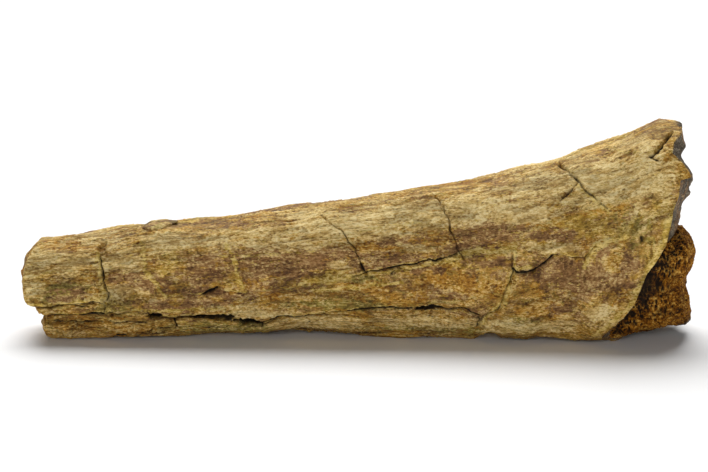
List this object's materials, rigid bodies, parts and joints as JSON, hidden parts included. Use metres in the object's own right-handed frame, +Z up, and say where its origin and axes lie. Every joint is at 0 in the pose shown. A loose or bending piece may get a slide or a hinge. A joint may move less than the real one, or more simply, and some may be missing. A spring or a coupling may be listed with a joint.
{
  "type": "fossil limb bone section",
  "caption": "Section of a fossil dinosaur limb bone: a split and weathered shaft flaring to a broken end with spongy bone showing.",
  "frame": {"origin": "middle of the footprint, on the surface that the bone lies on", "axes": "+X along the bone towards the flared end, +Z up from the surface it lies on, -Y is the well kept face"},
  "size_m": [0.2989, 0.0632, 0.0954],
  "materials": {
    "fossil_bone": "weathered mineralised bone: matt, streaked ochre and brown compact bone, with dark orange-brown spongy bone at the flared end"
  },
  "bodies": {
    "root": {"bone": "fossil_bone"}
  },
  "joints": []
}
